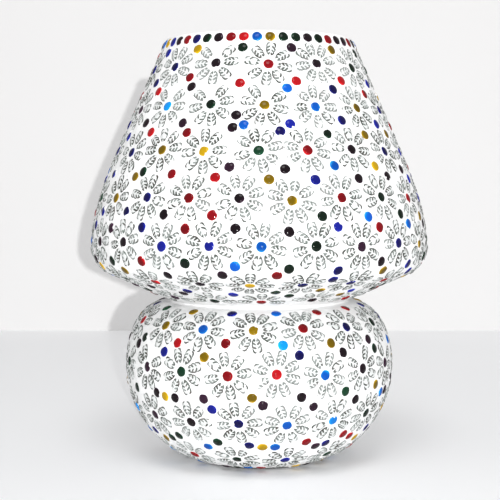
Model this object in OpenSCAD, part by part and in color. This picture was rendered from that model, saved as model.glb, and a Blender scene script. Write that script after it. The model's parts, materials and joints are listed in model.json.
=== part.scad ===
// Mosaic glass table lamp. One blown glass body with a wide shade and a squat base that meet
// at a tight waist, coated outside with white grout and set with moulded glass leaves and
// coloured glass dots. Inside are a threaded stem, a lampholder and a bulb.
// Millimetres. Z is up, the origin is at the centre of the foot, on the table.

/* [Shade] */
// Overall height, table to rim
lamp_h = 254; // [250:1:258]
// Radius at the rim, over the mosaic
rim_r = 57.1; // [55:0.1:59]
// Largest radius of the shade, over the mosaic
belly_r = 102; // [99:0.5:104]
// Height of the largest radius
belly_z = 134; // [131:1:137]
// Radius of the rounded corner under the belly
corner_r = 17.3; // [14:0.1:19]
// Slope of the underside
underside_deg = 25; // [23:1:27]

/* [Base] */
// Radius at the waist crease
waist_r = 55.5; // [54:0.5:57]
// Largest radius of the base, over the mosaic
base_r = 81.6; // [80:0.1:83]
// Height of the base's largest radius
base_z = 58; // [56:1:60]
// Outer radius where the base meets the foot
foot_r = 38.8; // [37:0.1:41]

/* [Walls] */
// Thickness of the blown glass
glass_t = 2.8; // [2.4:0.1:3.2]
// Thickness of the grout coat
grout_t = 1.8; // [1.6:0.1:2.2]
// How far the glass chips stand out of the grout
chip_proud = 0.8; // [0.6:0.1:1]
// How deep the chips are pressed into the grout
chip_sunk = 0.7; // [0.5:0.1:1]

/* [Mosaic] */
// Leaves in a whole flower
leaves = 8; // [6:1:8]
// Length of a leaf
leaf_l = 9.3; // [8:0.1:9.4]
// Width of a leaf
leaf_w = 5.9; // [4.5:0.1:5.9]
// From the flower's centre to a leaf's inner tip
leaf_in = 4; // [3.8:0.1:4.2]
// Radius of a glass dot
dot_r = 3; // [2.6:0.1:3.1]
// Dots in the ring under the rim
rim_dots = 49; // [45:1:50]
// Hand-laid unevenness of the flowers
uneven = 1; // [0:0.1:1.2]

/* [Lampholder and stem] */
// Outer radius of the threaded stem
stem_r = 5; // [4.8:0.1:5]
// Height of the holder's base
holder_z = 94; // [88:1:98]
// Outer radius of the holder's shell
holder_r = 19; // [18:0.5:20]
// Clearance between the holder's sleeve and the bulb's cap
cap_gap = 0.25; // [0.2:0.05:0.4]

/* [Bulb] */
// Largest radius of the bulb
bulb_r = 30; // [28:0.5:31]
// Length of the bulb over all
bulb_l = 108; // [104:1:112]

/* [Cord inlet] */
// Radius of the clear hole in the grommet
inlet_r = 3.5; // [3:0.1:3.8]
// Height of the inlet on the base
inlet_z = 31.5; // [28:0.5:34]

/* [Hidden] */
$fn = 48;
eps = 0.01;

// Each flower row: height, flowers, angle of its first flower, colours from that flower on.
// Angle 0 faces the front (-Y) and grows towards +X. Colours: R ruby, C cobalt, S sky blue,
// A amber, G bottle green, P aubergine.
FLOWER_ROWS = [
    [235, 14, -48, "CPRPG"],
    [211.5, 16, -66, "PSGASAC"],
    [186.5, 19, -58, "CAAGRPC"],
    [160, 21, -58, "ACRPARGR"],
    [134.5, 22, -65, "PPCCSGPCA"],
    [113, 19, -60, "GRPAC"],
    [101.5, 14, -50, "PGR"],
    [87.5, 16, -48, "ASARCG"],
    [62.5, 18, -53, "PGRRSPP"],
    [34, 17, -52, "PPCSS"],
    [9.5, 13, -40, "RGC"]
];
// The first row that is on the base
BASE_ROW = 7;
// Colours of the dots under the rim, from 75 degrees left of the front on
RIM_COLOURS = "SACPRCGPRRSAGGPGRPPRP";
// Colours of the loose dots, in the shares they are used
LOOSE_COLOURS = "RRRRCCCCCGGGGPPPPPSSAAA";

leaf_out = leaf_in + leaf_l;
chip_t = chip_proud + chip_sunk;
shell_in = chip_proud + grout_t;          // depth of the glass under the mosaic's face
cavity_in = shell_in + glass_t;           // depth of the hollow inside under the mosaic's face
rim_lip = 0.6;                            // grout over the rim's edge
rim_dot_s = 3.1;                          // dots' centres below the rim, along the wall
flower_gap = leaf_out + dot_r + 0.1;      // loose dots keep this far from a flower's centre
dot_pitch = 2 * dot_r + 0.3;              // and this far from each other
STEP_N = 14;                              // points along each curve of the outline

// ---- Outline of the lamp, from the rim to the foot, as [radius, height] ----

// Cubic curve through p[0] and p[3]
function curve(p, n) = [for (i = [0:n]) let (t = i / n, u = 1 - t)
    u*u*u * p[0] + 3*u*u*t * p[1] + 3*u*t*t * p[2] + t*t*t * p[3]];

corner_c = [belly_r - corner_r, belly_z - 4];
corner_end = corner_c + corner_r * [sin(underside_deg), -cos(underside_deg)];
waist_p = [waist_r, corner_end[1] + (waist_r - corner_end[0]) * tan(underside_deg)];
foot_p = [foot_r, 0.6];

SHADE = concat(
    curve([[rim_r, lamp_h - rim_lip], [rim_r + 27.3, lamp_h - 64.4], [belly_r, belly_z + 26],
           [belly_r, corner_c[1]]], STEP_N),
    [for (i = [1:8]) let (a = -i * (90 - underside_deg) / 8) corner_c + corner_r * [cos(a), sin(a)]],
    [corner_end + 0.5 * (waist_p - corner_end), waist_p]
);
BASE = concat(
    curve([waist_p, [waist_r + 16, waist_p[1] - 1.2], [base_r, base_z + 22], [base_r, base_z]], STEP_N),
    [for (p = curve([[base_r, base_z], [base_r + 0.4, base_z - 26], [foot_r + 24, 6], foot_p], STEP_N))
        if (p[1] < base_z - eps) p]
);

// Outward normal of a polyline at point i
function normal_at(pts, i) =
    let (d = pts[min(i + 1, len(pts) - 1)] - pts[max(i - 1, 0)]) [-d[1], d[0]] / norm(d);
function inset(pts, d) = [for (i = [0:len(pts) - 1]) pts[i] - d * normal_at(pts, i)];

// The outline moved inwards by d, with a round turn behind the waist crease
function outline(d) =
    let (n0 = normal_at(SHADE, len(SHADE) - 1), n1 = normal_at(BASE, 0),
         a0 = atan2(-n0[1], -n0[0]), a1 = atan2(-n1[1], -n1[0]) + 360, m = 6)
    concat(inset(SHADE, d), [for (i = [1:m - 1]) let (a = a0 + i * (a1 - a0) / m)
        waist_p + d * [cos(a), sin(a)]], inset(BASE, d));

// ---- Places on the mosaic, by distance s along the outline from the rim ----

FACE = concat(SHADE, [for (i = [1:len(BASE) - 1]) BASE[i]]);
function run(i) = i == 0 ? 0 : norm(FACE[i] - FACE[i - 1]);
RUNS = [for (i = 0, s = 0; i < len(FACE); i = i + 1, s = s + (i < len(FACE) ? run(i) : 0)) s];
R_OF_S = [for (i = [0:len(FACE) - 1]) [RUNS[i], FACE[i][0]]];
Z_OF_S = [for (i = [0:len(FACE) - 1]) [RUNS[i], FACE[i][1]]];
S_OF_Z = [for (i = [0:len(FACE) - 1]) [FACE[i][1], RUNS[i]]];
waist_s = RUNS[len(SHADE) - 1];
foot_s = RUNS[len(FACE) - 1];
function r_at(s) = lookup(s, R_OF_S);
function s_of(z) = lookup(z, S_OF_Z);
// Slope of the outline at s: -90 where it runs straight down
function slope_at(s) =
    let (h = 1.5, a = s < waist_s ? min(s, waist_s - h) : max(s, waist_s + h))
    atan2(lookup(a + h, Z_OF_S) - lookup(a - h, Z_OF_S), r_at(a + h) - r_at(a - h));

// Puts children on the mosaic: X down the wall, Y around it, Z outwards from the chips' face
module on_face(s, angle)
    rotate([0, 0, angle - 90]) translate([r_at(s), 0, lookup(s, Z_OF_S)])
        rotate([0, -slope_at(s), 0]) children();

// Distance between two places, each [s, angle]
function turn(a, b) = let (d = a - b) d - 360 * round(d / 360);
function gap(p, q) =
    norm([turn(p[1], q[1]) * PI / 180 * r_at((p[0] + q[0]) / 2), p[0] - q[0]]);
// A place moved by x along s and y around
function shift(p, x, y) = [p[0] + x, p[1] + y / r_at(p[0] + x) * 180 / PI];

inlet = [s_of(inlet_z), 180];
grommet_r = 8;

// ---- Flowers and their leaves ----

// The flowers of row i, each [s, angle, turn of its leaves, colour]
function row_flowers(i) =
    let (row = FLOWER_ROWS[i], n = row[1], wild = rands(-1, 1, 3 * n, 40 + i))
    [for (k = [0:n - 1])
        let (p = shift([s_of(row[0]), row[2] + k * 360 / n], uneven * wild[k], uneven * wild[n + k]))
        if (gap(p, inlet) > leaf_out + grommet_r)
            [p[0], p[1], 22 * wild[2 * n + k],
             k < len(row[3]) ? row[3][k] : loose_colour(wild[n + k])]];
function loose_colour(wild) = LOOSE_COLOURS[floor((wild + 1) / 2 * (len(LOOSE_COLOURS) - 0.01))];

// Places on leaf j of flower f that are kept clear: the middle and the outer end
function leaf_dir(f, j) = f[2] + j * 360 / leaves;
tip_room = 2.55;                          // free circle about a leaf's outer end
mid_room = leaf_w / 2 + 0.15;             // and about its middle
function leaf_mid(f, j) = shift(f, (leaf_in + leaf_l / 2) * cos(leaf_dir(f, j)),
                                (leaf_in + leaf_l / 2) * sin(leaf_dir(f, j)));
function leaf_tip(f, j) = shift(f, (leaf_out - 2) * cos(leaf_dir(f, j)),
                                (leaf_out - 2) * sin(leaf_dir(f, j)));
function clear_of(p, r, f, j) =
    gap(p, leaf_tip(f, j)) > r + tip_room && gap(p, leaf_mid(f, j)) > r + mid_room;
function on_wall(f, j) =
    let (s = f[0] + leaf_out * cos(leaf_dir(f, j)))
    f[0] < waist_s ? s > rim_dot_s + dot_r && s < waist_s - 3.5 : s > waist_s + 4 && s < foot_s - 1.5;

// A flower's leaves, left out where an earlier flower or the wall's edge is in the way
function flower_leaves(f, earlier) =
    [for (j = [0:leaves - 1]) if (on_wall(f, j) && len([for (g = earlier, k = [0:leaves - 1])
        if (!clear_of(leaf_tip(f, j), tip_room, g, k) || !clear_of(leaf_mid(f, j), mid_room, g, k)) 1]) == 0)
            [leaf_mid(f, j), leaf_dir(f, j)]];
function row_leaves(i) =
    let (own = row_flowers(i), above = i > 0 ? row_flowers(i - 1) : [])
    [for (k = [0:len(own) - 1])
        let (f = own[k], rest = concat(above, [for (m = [0:len(own) - 1]) if (m < k) own[m]]))
        each flower_leaves(f, [for (g = rest) if (gap(f, g) < 2 * leaf_out + 0.5) g])];

module leaf_chip() {
    fat_x = 1.1;                                       // where the leaf is widest
    side_r = (pow(leaf_l / 2 + fat_x, 2) + pow(leaf_w / 2, 2)) / leaf_w;
    end_r = 0.58 * leaf_l;
    translate([0, 0, -chip_t]) linear_extrude(chip_t) intersection() {
        translate([fat_x, side_r - leaf_w / 2]) circle(side_r);
        translate([fat_x, leaf_w / 2 - side_r]) circle(side_r);
        translate([leaf_l / 2 - end_r, 0]) circle(end_r);
    }
}

module leaf_rows(first, last)
    for (i = [first:last]) for (leaf = row_leaves(i))
        on_face(leaf[0][0], leaf[0][1]) rotate([0, 0, leaf[1]]) leaf_chip();

// ---- Dots ----

// Free places in the band between rows i and i + 1, near the place p: farthest from flowers first
function room(p, flowers, dots) =
    min(concat([for (f = flowers) gap(p, f) - flower_gap], [for (d = dots) gap(p, d) - dot_pitch],
               [gap(p, inlet) - grommet_r - dot_r - 1]));
function best_spot(p, band, flowers, dots) =
    let (spots = [for (x = [-6:1.5:6], y = [-9:1.5:9]) let (q = shift(p, x, y))
             if (q[0] > band[0] && q[0] < band[1]) [room(q, flowers, dots), q]],
         most = max([-1, each [for (t = spots) t[0]]]))
    most < 0 ? [] : [for (t = spots) if (t[0] == most) t[1]][0];

// Adds up to two dots at each of the starting places
function fill(starts, band, flowers, dots, i = 0) =
    i >= len(starts) ? dots :
    let (p = starts[i],
         near = [for (f = flowers) if (gap(p, f) < flower_gap + 20) f],
         close = [for (d = dots) if (gap(p, d) < 24) d],
         one = best_spot(p, band, near, close),
         two = one == [] ? [] : best_spot(one, band, near, concat(close, [one])))
    fill(starts, band, flowers, concat(dots, one == [] ? [] : two == [] ? [one] : [one, two]), i + 1);

// The places midway between neighbouring flowers, moved by x along the wall
function between(row, x) = [for (k = [0:len(row) - 1])
    let (a = row[k], b = row[(k + 1) % len(row)])
    shift([(a[0] + b[0]) / 2, a[1] - turn(a[1], b[1]) / 2], x, 0)];

function wall_end(i) = i < BASE_ROW ? waist_s - 3.5 - dot_r : foot_s - 1.5 - dot_r;
function wall_start(i) = i < BASE_ROW ? rim_dot_s + 2 * dot_r + 0.3 : waist_s + 4 + dot_r;
// The loose dots between row i and the next row of the same wall
function band_dots(i) =
    let (own = row_flowers(i), ends = i == BASE_ROW - 1 || i == len(FLOWER_ROWS) - 1,
         next = ends ? [] : row_flowers(i + 1), half = 12.5,
         band = [own[0][0], ends ? wall_end(i) : next[0][0]])
    fill(concat(between(own, half), ends ? [] : between(next, -half)), band, concat(own, next), []);
// The loose dots above a wall's first row
function top_dots(i) =
    let (own = row_flowers(i))
    fill(between(own, -10), [wall_start(i), own[0][0]], own, []);

// Every dot as [s, angle, colour]
function coloured(spots, seed) =
    let (wild = rands(-1, 1, len(spots) + 1, seed))
    [for (i = [0:len(spots) - 1]) if (len(spots) > 0) [spots[i][0], spots[i][1], loose_colour(wild[i])]];
function all_dots() = concat(
    [for (k = [0:rim_dots - 1]) [rim_dot_s, -75 + k * 360 / rim_dots, RIM_COLOURS[k % len(RIM_COLOURS)]]],
    [for (i = [0:len(FLOWER_ROWS) - 1]) each [for (f = row_flowers(i)) [f[0], f[1], f[3]]]],
    [for (i = [0:len(FLOWER_ROWS) - 1]) each coloured(band_dots(i), 70 + i)],
    coloured(top_dots(0), 91),
    coloured(top_dots(BASE_ROW), 92)
);

module dot() {
    edge_z = 0.2 * chip_proud - chip_proud;            // where the rounded top starts
    rotate_extrude()
        polygon([[0, -chip_t], [dot_r, -chip_t], [dot_r, edge_z], [0.75 * dot_r, 0], [0, 0]]);
}

module dots_of(colour)
    for (d = all_dots()) if (d[2] == colour) on_face(d[0], d[1]) dot();

module shade_leaf_chips() color("whitesmoke") leaf_rows(0, BASE_ROW - 1);
module base_leaf_chips() color("whitesmoke") leaf_rows(BASE_ROW, len(FLOWER_ROWS) - 1);
module ruby_dots() color("firebrick") dots_of("R");
module cobalt_dots() color("midnightblue") dots_of("C");
module sky_blue_dots() color("dodgerblue") dots_of("S");
module amber_dots() color("goldenrod") dots_of("A");
module bottle_green_dots() color("darkgreen") dots_of("G");
module aubergine_dots() color([0.14, 0.09, 0.12]) dots_of("P");

// ---- Glass body and its coat ----

glass_out = outline(shell_in);
glass_in = outline(cavity_in);
grout_out = outline(chip_proud);
foot_z = glass_out[len(glass_out) - 1][1];       // underside of the glass at the foot
recess_r = 27;                                   // recess under the foot, for the nut
recess_h = 7;
floor_t = 4;                                     // glass floor that the stem is clamped to
floor_z = foot_z + recess_h;
stem_hole_r = stem_r + 0.6;
inlet_hole_r = 5.2;
function backwards(pts) = [for (i = [len(pts) - 1:-1:0]) pts[i]];

module inlet_hole() on_face(inlet[0], inlet[1]) translate([0, 0, -15]) cylinder(h = 25, r = inlet_hole_r);

module glass_body() color([0.85, 0.92, 0.93, 0.5]) difference() {
    rotate_extrude($fn = 96) polygon(concat(
        glass_out,
        [[recess_r, foot_z], [recess_r - 5, floor_z], [stem_hole_r, floor_z],
         [stem_hole_r, floor_z + floor_t], [recess_r - 3, floor_z + floor_t], [recess_r + 4, foot_z + 4.5]],
        backwards(glass_in)
    ));
    inlet_hole();
}

module grout_coat() color("white") difference() {
    rotate_extrude($fn = 96) polygon(concat(
        [[glass_in[0][0], lamp_h], [grout_out[0][0], lamp_h]],
        grout_out,
        backwards(glass_out),
        [glass_in[0]]
    ));
    inlet_hole();
}

module foot_ring() color("dimgray") difference() {
    cylinder(h = foot_z, r = foot_r - 2);
    translate([0, 0, -1]) cylinder(h = foot_z + 2, r = recess_r + 1);
}

// Grommet with a flange on each side of the wall
module cord_grommet() color("black") on_face(inlet[0], inlet[1]) rotate_extrude() {
    top = 2.6;
    low = -cavity_in - 2.4;
    polygon([
        [inlet_r, low], [grommet_r - 1, low], [grommet_r - 1, -cavity_in - 0.6],
        [inlet_hole_r - 0.2, -cavity_in - 0.6], [inlet_hole_r - 0.2, 0], [grommet_r, 0],
        [grommet_r - 0.8, top], [inlet_r, top]
    ]);
}

// ---- Stem and its fastenings ----

nut_af = 17;                     // nut across flats
nut_h = 3;
washer_t = 1;
gasket_t = 1.2;
under_z = floor_z - gasket_t - washer_t;                 // underside of the bottom washer
over_z = floor_z + floor_t + gasket_t + washer_t;        // top of the floor washer

module disc_ring(z, h, r_out, r_in) translate([0, 0, z]) difference() {
    cylinder(h = h, r = r_out);
    translate([0, 0, -1]) cylinder(h = h + 2, r = r_in);
}
module nut(z, h = nut_h) translate([0, 0, z]) difference() {
    cylinder(h = h, r = nut_af / 2 / cos(30), $fn = 6);
    translate([0, 0, -1]) cylinder(h = h + 2, r = stem_r);
}
stem_z = under_z - nut_h - 1;
stem_top = holder_z + 6;
// Threaded stem, with a hole in its side that lets the cord's two cores in
module stem_tube() color("goldenrod") difference() {
    disc_ring(stem_z, stem_top - stem_z, stem_r, stem_r - 1.2);
    translate([0, 0, inlet_z]) rotate([-90, 0, 0]) cylinder(h = 2 * stem_r, r = 2.2);
}
module bottom_nut() color("silver") nut(under_z - nut_h);
module bottom_washer() color("silver") disc_ring(under_z, washer_t, 14, stem_r + 0.3);
module bottom_gasket() color("dimgray") disc_ring(floor_z - gasket_t, gasket_t, 15, stem_r + 0.2);
module floor_gasket() color("dimgray") disc_ring(floor_z + floor_t, gasket_t, 15, stem_r + 0.2);
module floor_washer() color("silver") disc_ring(over_z - washer_t, washer_t, 14, stem_r + 0.3);
module floor_nut() color("silver") nut(over_z);
module holder_lock_nut() color("silver") nut(holder_z - 2.4, 2.4);

// ---- Lampholder ----

cap_h = 16;
shell_h = 30;
wall = 1.6;
shell_z = holder_z + cap_h;
holder_top = shell_z + shell_h;
insulator_z = shell_z + 1;
insulator_h = 6;
bulb_cap_r = 13.15;
sleeve_r = bulb_cap_r + cap_gap;
tip_z = insulator_z + insulator_h + 2.4;          // underside of the seated bulb

// Domed cap that screws to the stem
module holder_cap() color("ivory") rotate_extrude() polygon(concat(
    [[stem_r, holder_z], [holder_r - 7, holder_z]],
    [for (a = [-60:15:0]) [holder_r - 7 + 7 * cos(a) , holder_z + 6.5 + 6.5 * sin(a)]],
    [[holder_r, shell_z], [holder_r - wall, shell_z]],
    [for (a = [0:-15:-60]) [holder_r - 7 - wall + 7 * cos(a), holder_z + 7.5 + 5 * sin(a)]],
    [[holder_r - 8, holder_z + 3], [stem_r + 3, holder_z + 3], [stem_r + 3, stem_top], [stem_r, stem_top]]
));
module holder_shell() color("ivory") disc_ring(shell_z, shell_h, holder_r, holder_r - wall);
// Threaded collar around the shell's top
module holder_collar() color("ivory") rotate_extrude() polygon([
    [holder_r, holder_top - 13], [holder_r + 1.2, holder_top - 13], [holder_r + 1.2, holder_top - 5],
    [holder_r + 4, holder_top - 5], [holder_r + 4, holder_top - 3.4], [holder_r + 1.2, holder_top - 2.4],
    [holder_r, holder_top - 2.4]
]);
plunger_r = 2.5;
insulator_r = holder_r - wall - 0.1;              // drops into the shell
module holder_insulator() color("white") difference() {
    union() {
        translate([0, 0, insulator_z]) cylinder(h = insulator_h, r = insulator_r);
        disc_ring(insulator_z + insulator_h - eps, 3, insulator_r, sleeve_r + 0.6);
    }
    translate([0, 0, insulator_z - 1]) cylinder(h = insulator_h + 2, r = plunger_r + 0.3);
    for (x = [-1, 1]) translate([x * 9, 0, insulator_z - 1]) cylinder(h = 4, r = 1.7);
    translate([0, 10.5, insulator_z - 1]) cylinder(h = insulator_h + 2, r = 1);
}
module thread_sleeve() color("goldenrod") disc_ring(insulator_z + insulator_h, 25, sleeve_r + 0.6, sleeve_r);
// Strip on the insulator's floor that feeds the sleeve
module side_contact() color("goldenrod")
    translate([-2, 8.4, insulator_z + insulator_h]) cube([4, 3.8, 0.5]);
module contact_rivet() color("goldenrod")
    translate([0, 10.5, insulator_z - 0.8]) cylinder(h = insulator_h + 0.8, r = 1);
module terminal_screws() color("silver") for (x = [-1, 1]) translate([x * 9, 0, insulator_z]) difference() {
    union() {
        translate([0, 0, -1.4]) cylinder(h = 1.4, r = 2.8);
        cylinder(h = 2.6, r = 1.7);
    }
    translate([-4, -0.4, -2]) cube([8, 0.8, 1.2]);
}
// Screw in the cap's side that bears on the stem
module grub_screw() color("silver") translate([stem_r, 0, holder_z + 4.5]) rotate([0, 90, 0])
    difference() {
        cylinder(h = 7, r = 1.5);
        translate([-0.3, -2, 6.2]) cube([0.6, 4, 2]);
    }
// Sprung contact under the bulb's tip
module centre_contact() color("goldenrod") {
    translate([0, 0, tip_z - 0.85]) cylinder(h = 0.8, r = 4.2);
    translate([0, 0, insulator_z + 1.5]) cylinder(h = tip_z - 0.85 - insulator_z - 1.5, r = plunger_r);
}

// ---- Bulb ----

bulb_neck_z = tip_z + 27;
bulb_top = tip_z + bulb_l;
module bulb_tip() color("silver") translate([0, 0, tip_z]) cylinder(h = 1.2, r1 = 4, r2 = 4.8);
module bulb_insulator() color("black")
    translate([0, 0, tip_z + 1.2]) cylinder(h = 3, r1 = 5.5, r2 = 10.5);
module bulb_cap() color("silver") rotate_extrude() polygon(concat(
    [[9.5, tip_z + 4.2], [11, tip_z + 4.2], [12.4, tip_z + 5.6]],
    [for (k = [0:4], q = [[0, -0.6], [0.75, 0], [1, 0], [1.75, -0.6]])
        [bulb_cap_r + q[1], tip_z + 7 + 3.6 * k + 1.8 * q[0]]],
    [[bulb_cap_r, tip_z + 26], [bulb_cap_r, bulb_neck_z], [bulb_cap_r - 0.6, bulb_neck_z],
     [bulb_cap_r - 1.3, tip_z + 7], [9.5, tip_z + 5]]
));
// Envelope from the cap's edge to the crown, set in by d
function envelope(d) = concat(
    curve([[12.4 - d, bulb_neck_z - 2], [13 - d, bulb_neck_z + 16], [bulb_r - d, bulb_neck_z + 20],
           [bulb_r - d, bulb_top - bulb_r]], 10),
    [for (a = [9:9:81]) [(bulb_r - d) * cos(a), bulb_top - bulb_r + (bulb_r - d) * sin(a)]],
    [[0, bulb_top - d]]
);
module bulb_envelope() color([1, 1, 1, 0.4])
    rotate_extrude() polygon(concat(envelope(0), backwards(envelope(0.9))));
module bulb_stem() color([0.9, 0.95, 0.95, 0.5]) rotate_extrude() polygon([
    [0, bulb_neck_z + 24], [2.2, bulb_neck_z + 23], [2.6, bulb_neck_z + 12], [4.5, bulb_neck_z + 4],
    [11.4, bulb_neck_z - 1.6], [11.4, bulb_neck_z - 2], [0, bulb_neck_z - 2]
]);
filament_z = bulb_neck_z + 42;
filament_w = 24;
module filament_wires() color("silver") for (x = [-1, 1]) {
    translate([x * 1.4, 0, bulb_neck_z + 22]) rotate([0, x * 28.1, 0]) cylinder(h = 22.7, r = 0.35, $fn = 16);
}
module filament() color("dimgray")
    translate([-filament_w / 2, 0, filament_z + 0.6]) rotate([0, 90, 0])
        cylinder(h = filament_w, r = 0.5, $fn = 16);

glass_body();
grout_coat();
shade_leaf_chips();
base_leaf_chips();
ruby_dots();
cobalt_dots();
sky_blue_dots();
amber_dots();
bottle_green_dots();
aubergine_dots();
foot_ring();
cord_grommet();
stem_tube();
bottom_nut();
bottom_washer();
bottom_gasket();
floor_gasket();
floor_washer();
floor_nut();
holder_lock_nut();
holder_cap();
holder_shell();
holder_collar();
holder_insulator();
thread_sleeve();
side_contact();
terminal_screws();
contact_rivet();
grub_screw();
centre_contact();
bulb_cap();
bulb_insulator();
bulb_tip();
bulb_envelope();
bulb_stem();
filament_wires();
filament();
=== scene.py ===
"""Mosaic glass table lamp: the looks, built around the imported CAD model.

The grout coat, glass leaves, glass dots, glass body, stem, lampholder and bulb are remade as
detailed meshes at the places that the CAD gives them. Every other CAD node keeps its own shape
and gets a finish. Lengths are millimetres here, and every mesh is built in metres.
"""

import json
import math

import bpy
import numpy as np
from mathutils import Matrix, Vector


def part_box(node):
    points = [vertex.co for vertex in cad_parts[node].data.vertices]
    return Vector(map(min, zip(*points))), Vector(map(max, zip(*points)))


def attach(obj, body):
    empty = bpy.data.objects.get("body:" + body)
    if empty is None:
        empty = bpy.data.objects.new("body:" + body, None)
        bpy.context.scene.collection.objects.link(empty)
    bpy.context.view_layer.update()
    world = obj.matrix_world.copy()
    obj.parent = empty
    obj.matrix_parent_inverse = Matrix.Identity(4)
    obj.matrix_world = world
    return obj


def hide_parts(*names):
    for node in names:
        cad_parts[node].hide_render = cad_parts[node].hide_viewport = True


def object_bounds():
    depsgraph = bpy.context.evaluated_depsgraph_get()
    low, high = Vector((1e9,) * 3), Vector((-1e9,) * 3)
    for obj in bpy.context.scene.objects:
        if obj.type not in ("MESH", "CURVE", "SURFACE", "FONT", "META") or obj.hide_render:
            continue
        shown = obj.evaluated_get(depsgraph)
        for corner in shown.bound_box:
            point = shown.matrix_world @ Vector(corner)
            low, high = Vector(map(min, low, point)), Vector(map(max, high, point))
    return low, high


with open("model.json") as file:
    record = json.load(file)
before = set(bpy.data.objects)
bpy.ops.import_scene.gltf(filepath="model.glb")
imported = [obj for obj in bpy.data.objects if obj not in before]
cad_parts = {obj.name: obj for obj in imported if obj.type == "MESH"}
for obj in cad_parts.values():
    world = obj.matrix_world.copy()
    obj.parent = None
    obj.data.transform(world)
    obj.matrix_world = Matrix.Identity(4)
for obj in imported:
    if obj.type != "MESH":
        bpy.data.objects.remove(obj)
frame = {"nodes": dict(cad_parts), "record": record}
cad_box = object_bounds()

MM = 0.001
rng = np.random.default_rng(11)
LAMP = "lamp"

# ---- camera, floor and light

FLOOR_HALF = 600.0
# The wall catches the flash's hard shadow. It ends on the left where it would otherwise come
# into the view from behind.
WALL_Y = 600.0
WALL_SPAN = (-330.0, 600.0)
WALL_H = 900.0
# Powers are in watts
FLASH_AT = (85, -1200, 205)
FLASH_AIM = (0, 0, 130)
FLASH_SIZE = 11
FLASH_POWER = 11.3
CEILING_AT = (0, -900, 1500)
CEILING_AIM = (0, -100, 0)
CEILING_SIZE = 700
CEILING_POWER = 7.5
SKY_COLOUR = (0.90, 0.90, 0.905, 1.0)
SKY_STRENGTH = 0.64
CAMERA_AT = (-5.5, -735.0, 172.0)
CAMERA_TILT = 86.5  # degrees up from straight down
CAMERA_LENS = 86.4
CAMERA_SENSOR = 36.0
CAMERA_NEAR = 10.0


def metres(*values):
    return tuple(v * MM for v in values)


def camera():
    data = bpy.data.cameras.new("camera")
    data.lens = CAMERA_LENS
    data.sensor_width = CAMERA_SENSOR
    data.clip_start = CAMERA_NEAR * MM
    item = bpy.data.objects.new("camera", data)
    item.location = metres(*CAMERA_AT)
    item.rotation_euler = (math.radians(CAMERA_TILT), 0.0, 0.0)
    bpy.context.collection.objects.link(item)
    bpy.context.scene.camera = item


def area_light(name, place, aim, size, power):
    """A round light that faces the point it aims at."""
    data = bpy.data.lights.new(name, "AREA")
    data.shape = "DISK"
    data.size = size * MM
    data.energy = power
    item = bpy.data.objects.new(name, data)
    item.location = metres(*place)
    gaze = np.array(aim, float) - np.array(place, float)
    item.rotation_euler = (math.atan2(math.hypot(gaze[0], gaze[1]), -gaze[2]), 0.0,
                           math.atan2(-gaze[0], gaze[1]))
    bpy.context.collection.objects.link(item)


def studio():
    world = bpy.data.worlds.new("studio")
    bpy.context.scene.world = world
    world.use_nodes = True
    sky = world.node_tree.nodes["Background"]
    sky.inputs["Color"].default_value = SKY_COLOUR
    sky.inputs["Strength"].default_value = SKY_STRENGTH
    area_light("flash", FLASH_AT, FLASH_AIM, FLASH_SIZE, FLASH_POWER)
    area_light("ceiling", CEILING_AT, CEILING_AIM, CEILING_SIZE, CEILING_POWER)
    view = bpy.context.scene.view_settings
    view.view_transform = "Standard"
    view.look = "None"
    left, right = WALL_SPAN
    backdrop("floor", [(x * FLOOR_HALF, y * FLOOR_HALF, 0) for x, y in
                       ((-1, -1), (1, -1), (1, 1), (-1, 1))],
             paint_finish("floor_paint", 3.0, (0.92, 0.925, 0.935), (0.94, 0.945, 0.955),
                          Roughness=0.55))
    backdrop("wall", [(left, WALL_Y, 0), (right, WALL_Y, 0), (right, WALL_Y, WALL_H),
                      (left, WALL_Y, WALL_H)],
             paint_finish("wall_paint", 2.0, (0.80, 0.792, 0.788), (0.82, 0.814, 0.81),
                          Roughness=0.7, Specular_IOR_Level=0.2))


def backdrop(name, corners, finish):
    """A flat sheet of the studio, which isn't part of the lamp."""
    data = bpy.data.meshes.new(name)
    data.from_pydata([metres(*corner) for corner in corners], [], [(0, 1, 2, 3)])
    data.materials.append(finish)
    sheet = bpy.data.objects.new(name, data)
    bpy.context.collection.objects.link(sheet)


# ---- materials


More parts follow.
